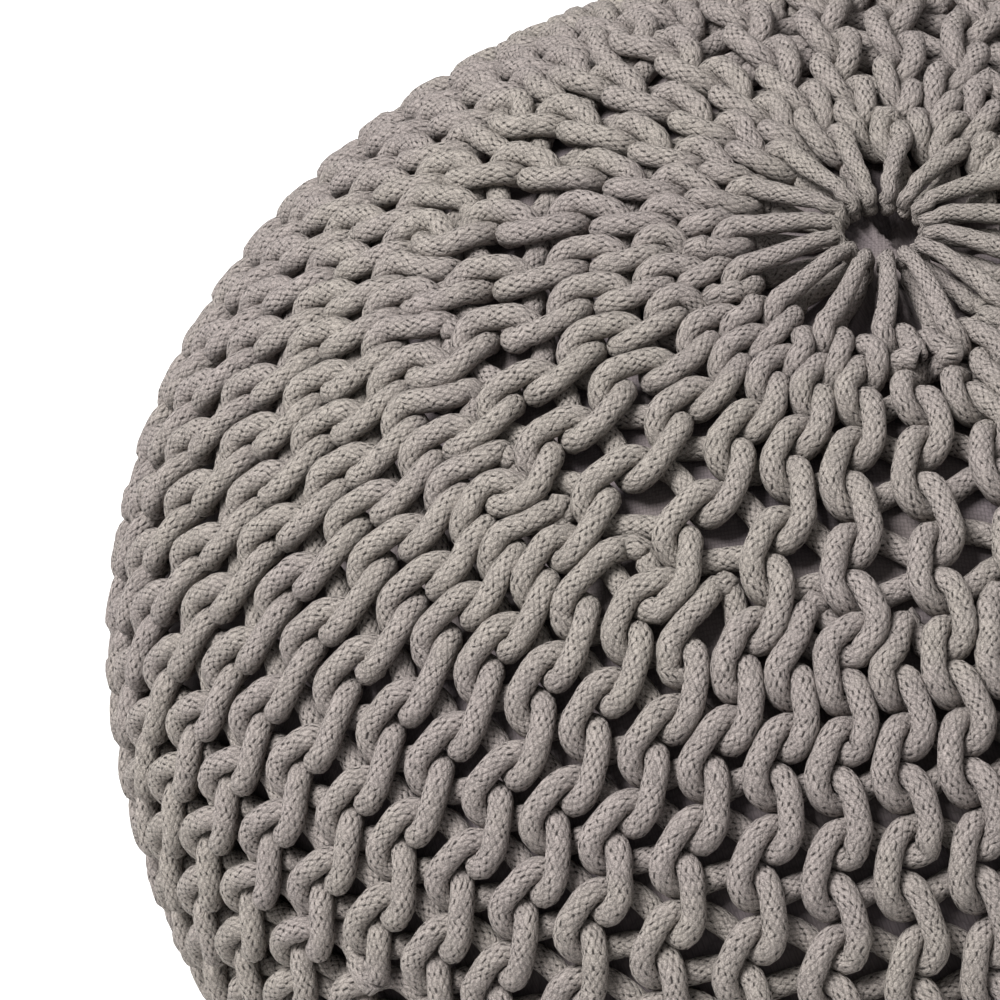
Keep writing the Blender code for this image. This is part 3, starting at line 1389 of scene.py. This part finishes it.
@dataclass
class LinerBody:
    """The filled liner, a round cloth body gathered at its top and bottom.

    Attributes:
        outline: Outline of the cover.
        under: Depth of the liner under the outline.
        material: The cloth's material.
        rounds: Points round each ring.
        rings: Number of rings.
        pleats: Number of pleats at a hole.
        pleat_depth: Half the depth of a pleat at the axis.
        pleat_reach: Distance over which the pleats fade.
        fold_turn: Angle of the folded flap in the top hole.
        fold_edge: Distance from the axis to the edge of the flap, which drops over fold_blend.
        fold_rise: Height of the flap.
        fill: Share of the liner that is filled. Not used.
    """

    outline: Meridian
    under: float
    material: bpy.types.Material
    rounds: int = 120
    rings: int = 90
    pleats: int = 17
    pleat_depth: float = 0.0022
    pleat_reach: float = 0.060
    fold_turn: float = 0.6
    fold_edge: float = 0.0055
    fold_blend: float = 0.0022
    fold_rise: float = 0.0105
    fill: float = 0.95

    LAY = "cloth_lay"

    def build(self) -> bpy.types.Object:
        """Returns:
            The piece.
        """
        line = self.outline
        share = np.linspace(0.0, math.pi, self.rings + 2)[1:-1]
        arc = line.total * (0.5 - 0.5 * np.cos(share))
        turn = np.arange(self.rounds) * TAU / self.rounds
        arcs, turns = np.meshgrid(arc, turn, indexing="ij")
        ring = line.ring_at(arcs)
        pleat = np.cos(self.pleats * turns + 2.0 * np.sin(3 * turns)) * ease(ring / 0.03)
        near = np.exp(-((ring / self.pleat_reach) ** 2))
        depth = self.under + self.pleat_depth * (1 - pleat) * near
        across = ring * np.sin(turns - self.fold_turn)
        fold = ease(0.5 - (across - self.fold_edge) / self.fold_blend)
        depth = depth + self.fold_rise * (0.75 - fold) * ease((0.030 - ring) / 0.014)
        points = line.place(arcs, turns, depth)
        poles = [points[0].mean(0), points[-1].mean(0)]
        faces = ring_quads(self.rings, self.rounds)[:, [0, 3, 2, 1]].tolist()
        pole, last = self.rings * self.rounds, (self.rings - 1) * self.rounds
        steps = [(k, (k + 1) % self.rounds) for k in range(self.rounds)]
        faces += [[pole, k, following] for k, following in steps]
        faces += [[pole + 1, last + following, last + k] for k, following in steps]
        mesh = bpy.data.meshes.new("liner_body")
        mesh.from_pydata(np.concatenate([points.reshape(-1, 3), poles]).tolist(), [], faces)
        mesh.validate()
        mesh.shade_smooth()
        self._lay(mesh)
        piece = link("liner_body", mesh, self.material)
        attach(piece, "root")
        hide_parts(LINER)
        LOG.info("%s: %d faces", piece.name, len(mesh.polygons))
        return piece

    def _lay(self, mesh: bpy.types.Mesh) -> None:
        """Lays the cloth's threads over the liner, flat at the ends and upright at the sides."""
        place = np.array([v.co for v in mesh.vertices])
        corners = np.zeros(len(mesh.loops), np.int32)
        mesh.loops.foreach_get("vertex_index", corners)
        x, y, z = place[corners].T
        add_uv(mesh, self.LAY, np.stack([x + z * 0.5, y - z * 0.5], -1))


# The studio


@dataclass
class Studio:
    """Floor, lights, surroundings and camera.

    Attributes:
        outline: Outline of the cover, which the camera's distance is taken from.
        distance: Distance of the camera, in radii of the pouf.
        elevation: Angle at which the camera looks down on the pouf.
        yaw: Turn of the camera to the side, after which come pitch and roll.
        lens: Focal length in mm, for a sensor of the given width.
        air: Strength of the surroundings.
    """

    outline: Meridian
    distance: float = 6.5
    elevation: float = math.radians(47.712)
    yaw: float = -0.109
    pitch: float = 0.026
    roll: float = -0.07
    lens: float = 179.56
    sensor: float = 36.0
    air: float = 0.41

    # Name, place, width and power of a large soft key light and of a weaker fill.
    LAMPS = (("key", (-1.1, -0.25, 2.4), 1.0, 115.0), ("fill", (1.8, -1.6, 1.5), 2.2, 7.0))

    def build(self) -> None:
        """Makes all of it."""
        self._floor()
        self._lights()
        self._camera()

    def _floor(self) -> None:
        """Makes the floor."""
        bpy.ops.mesh.primitive_plane_add(size=12.0, location=(0.0, 0.0, -0.0005))
        floor = bpy.context.object
        floor.name = "floor"
        floor.data.materials.append(FloorFinish("pale_floor").material())

    def _lights(self) -> None:
        """Makes the lamps and pale surroundings."""
        for lamp in self.LAMPS:
            self._area(*lamp)
        world = bpy.data.worlds.new("studio")
        bpy.context.scene.world = world
        world.use_nodes = True
        back = world.node_tree.nodes["Background"]
        back.inputs["Color"].default_value = (1.0, 1.0, 1.0, 1.0)
        back.inputs["Strength"].default_value = self.air
        bpy.context.scene.view_settings.view_transform = "Standard"

    @staticmethod
    def _area(name: str, place: tuple[float, float, float], size: float, power: float) -> None:
        """Makes a square area light that looks at the middle of the pouf."""
        light = bpy.data.lights.new(name, "AREA")
        light.size, light.energy = size, power
        lamp = bpy.data.objects.new(name, light)
        lamp.location = place
        away = Vector((0.0, 0.0, 0.15)) - Vector(place)
        lamp.rotation_euler = away.to_track_quat("-Z", "Y").to_euler()
        bpy.context.scene.collection.objects.link(lamp)

    def _camera(self) -> None:
        """Makes the camera, which looks down on the front of the pouf."""
        away = self.distance * self.outline.radius
        rise = self.outline.widest + away * math.sin(self.elevation)
        place = Vector((0.0, -away * math.cos(self.elevation), rise))
        tilt = self.pitch - self.elevation
        level = math.cos(tilt)
        ahead = Vector((math.sin(self.yaw) * level, math.cos(self.yaw) * level, math.sin(tilt)))
        right = ahead.cross(Vector((0.0, 0.0, 1.0))).normalized()
        up = right.cross(ahead)
        across = right * math.cos(self.roll) + up * math.sin(self.roll)
        above = up * math.cos(self.roll) - right * math.sin(self.roll)
        data = bpy.data.cameras.new("camera")
        data.lens, data.sensor_width = self.lens, self.sensor
        camera = bpy.data.objects.new("camera", data)
        columns = Matrix((across, above, -ahead)).transposed()
        camera.matrix_world = Matrix.Translation(place) @ columns.to_4x4()
        bpy.context.scene.collection.objects.link(camera)
        bpy.context.scene.camera = camera


def main() -> None:
    """Builds the pouf and the studio round it."""
    logging.basicConfig(level=logging.INFO, format="%(name)s: %(message)s")
    outline = Meridian.from_cover()
    plan = KnitPlan(outline, CORD)
    yarn = Yarn.from_plan(plan)
    LOG.info("planned yarn: %.1f m in %d samples", yarn.length, len(yarn.points))
    rounds = ROUNDS
    left = Settling(yarn, plan, DepthGrid(outline), rounds).run()
    LOG.info("settled yarn: %.1f m, mean overlap %.2f mm", yarn.length, left * 1000)
    tone, plait, weave = soft_tone_group(), plait_group(), weave_group()
    cord = CordFinish("plaited_cotton").material(tone, plait)
    cloth = ClothFinish("lining_cloth").material(tone, weave)
    CordCover(yarn, cord).build()
    LinerBody(outline, plan.thick + LINER_GAP, cloth).build()
    Studio(outline).build()


if __name__ == "__main__":
    main()
